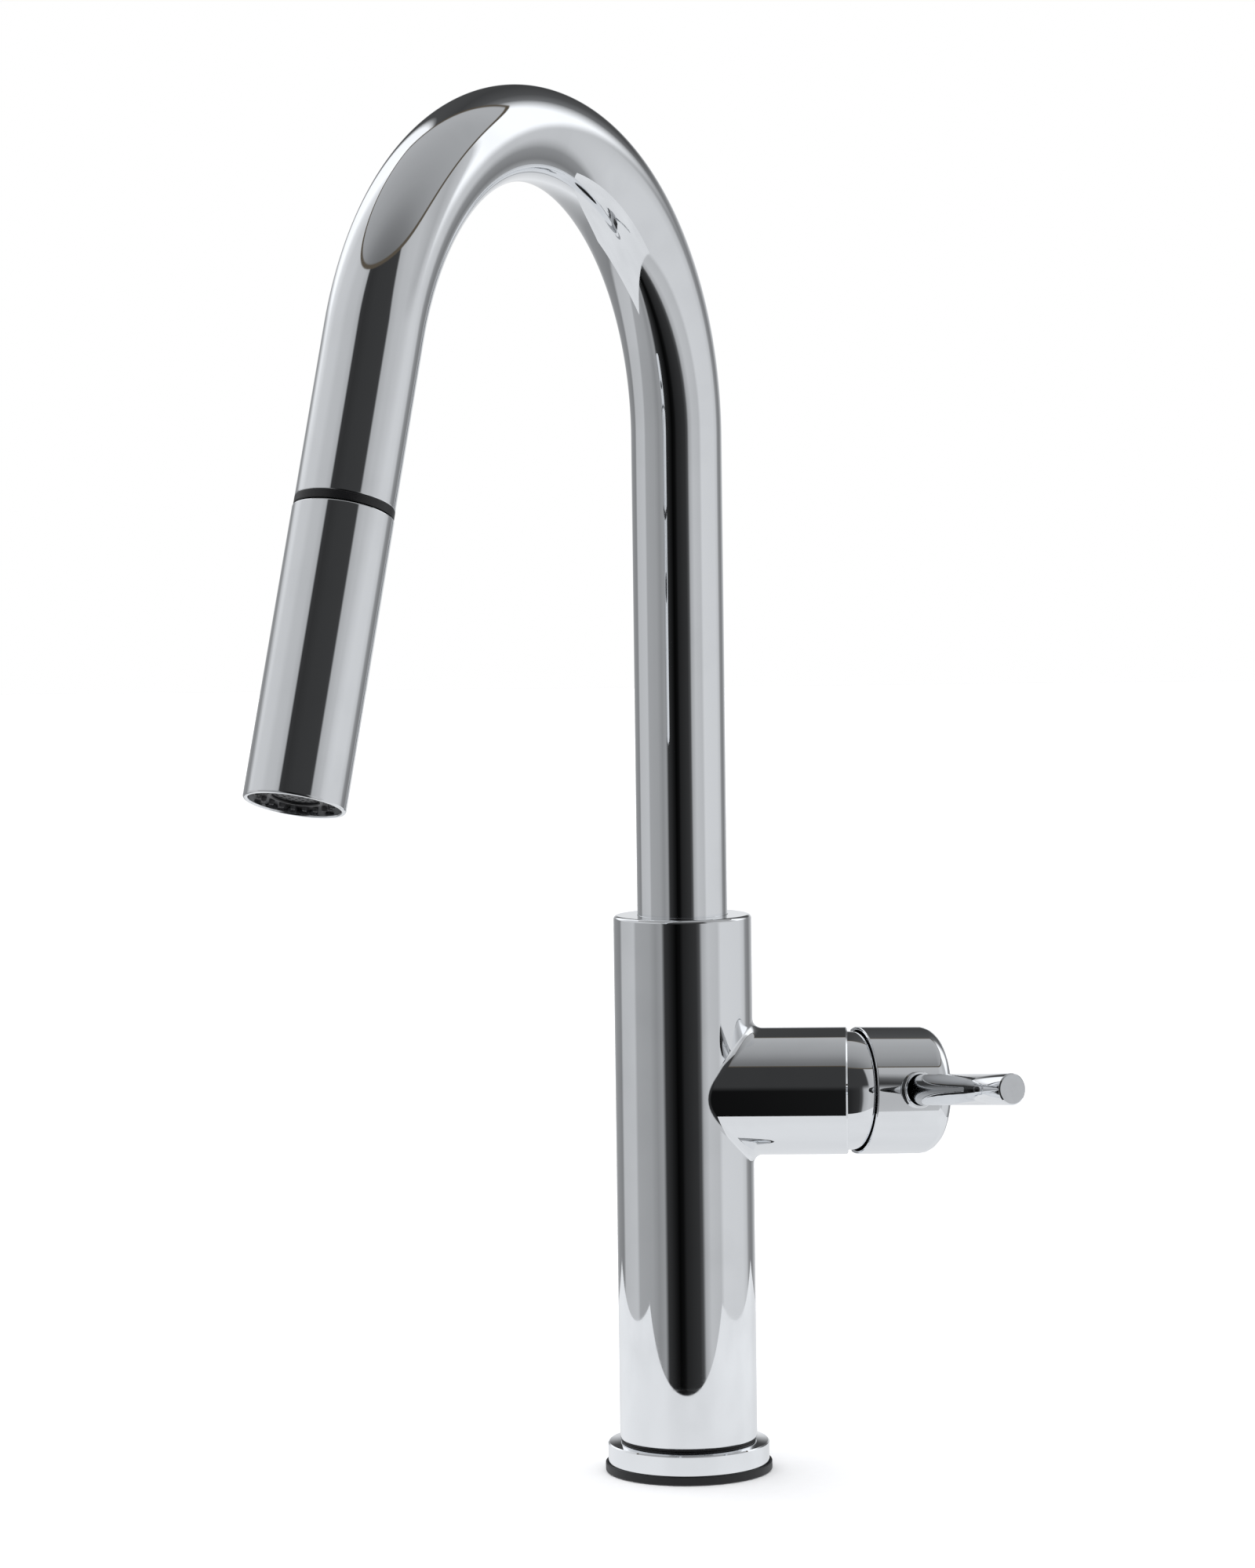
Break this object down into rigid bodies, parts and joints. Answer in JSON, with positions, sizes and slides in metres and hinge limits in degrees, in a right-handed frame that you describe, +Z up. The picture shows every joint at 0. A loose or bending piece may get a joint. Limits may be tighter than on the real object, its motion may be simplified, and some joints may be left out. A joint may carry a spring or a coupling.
{
  "type": "pull-down kitchen faucet",
  "caption": "Pull-down kitchen faucet: cylindrical column with a side lever valve, a high-arc swivelling spout and a docked cylindrical spray head.",
  "frame": {"origin": "on the column's axis at the underside of the deck gasket, midway between the two deck stud holes", "axes": "+Z up along the column, +X along the handle stub, -Y towards the user; the spout rests swung 27 degrees from the front and the lever 20 degrees open"},
  "size_m": [0.2253, 0.242, 0.4442],
  "materials": {
    "chrome": "mirror polished chrome plate",
    "black_rubber": "matt",
    "black_plastic": "satin moulded",
    "dark_plastic": "satin moulded",
    "brass": "machined",
    "copper": "drawn tube",
    "steel": "plain",
    "zinc": "die cast",
    "nickel_brass": "nickel plate",
    "white_plastic": "moulded",
    "blue_plastic": "moulded",
    "ceramic": "lapped ceramic",
    "braid": "woven nylon braid"
  },
  "bodies": {
    "body": {"deck_gasket": "black_rubber", "base_ring": "chrome", "seal_ring": "black_rubber", "mounting_plate": "brass", "plate_screws": "steel", "body_shell": "chrome", "upper_bush": "white_plastic", "lower_bush": "white_plastic", "swivel_stop_screw": "steel", "valve_seat": "brass", "hot_tube": "copper", "cold_tube": "copper", "outlet_tube": "copper", "cartridge_base": "white_plastic", "cartridge_seals": "black_rubber", "fixed_disc": "ceramic", "cartridge_housing": "white_plastic", "cartridge_nut": "brass", "bonnet_dome": "chrome"},
    "turn": {"cartridge_rotor": "blue_plastic", "pivot_pin": "steel"},
    "disc": {"disc_carrier": "white_plastic", "moving_disc": "ceramic"},
    "handle": {"cartridge_stem": "brass", "handle_hub": "zinc", "handle_cap": "chrome", "lever_rod": "chrome", "lever_collar": "chrome", "handle_set_screw": "steel", "set_screw_plug": "chrome"},
    "spout": {"spout_tube": "chrome", "swivel_sleeve": "brass", "retaining_clip": "steel", "dock_insert": "black_plastic", "dock_magnet": "steel", "hose": "braid", "hose_tail": "brass"},
    "hose_end": {"hose_nut": "nickel_brass", "hose_seal": "black_rubber"},
    "spray_head": {"head_shell": "chrome", "head_core": "white_plastic", "check_valve": "blue_plastic", "head_o_ring": "black_rubber", "spray_face": "black_plastic", "spray_nozzles": "black_rubber", "aerator_insert": "dark_plastic", "aerator_ring": "black_plastic", "button_spring": "steel"},
    "selector": {"selector_button": "black_plastic", "diverter_spool": "brass"}
  },
  "joints": [
    {"name": "spout_swivel", "type": "hinge", "parent": "body", "child": "spout", "pos_m": [0, 0, 0.17], "axis": [0, 0, 1], "range_deg": [-33, 87]},
    {"name": "hose_pull", "type": "slide", "parent": "spout", "child": "hose_end", "axis": [-0.1456, -0.2857, -0.9472], "range_m": [0, 0.2]},
    {"name": "head_spin", "type": "hinge", "parent": "hose_end", "child": "spray_head", "pos_m": [-0.08989, -0.17641, 0.3104], "axis": [-0.1456, -0.2857, -0.9472], "continuous": true},
    {"name": "selector_push", "type": "slide", "parent": "spray_head", "child": "selector", "axis": [-0.43, -0.844, 0.3206], "range_m": [0, 0.0012], "stiffness_N_per_m": 1500, "springref_m": -0.001, "deforming": ["button_spring"]},
    {"name": "temperature_turn", "type": "hinge", "parent": "body", "child": "turn", "pos_m": [0.053, 0, 0.1244], "axis": [1, 0, 0], "range_deg": [-42.5, 57.5]},
    {"name": "lever_tilt", "type": "hinge", "parent": "turn", "child": "handle", "pos_m": [0.053, 0, 0.1244], "axis": [0, 0.1305, 0.9914], "range_deg": [-20, 5]},
    {"name": "disc_slide", "type": "slide", "parent": "turn", "child": "disc", "axis": [0, 0.9914, -0.1305], "range_m": [-0.00136, 0.00542]}
  ],
  "couplings": [
    {"joint": "disc_slide", "follows": "lever_tilt", "m_per_rad": -0.015497}
  ]
}
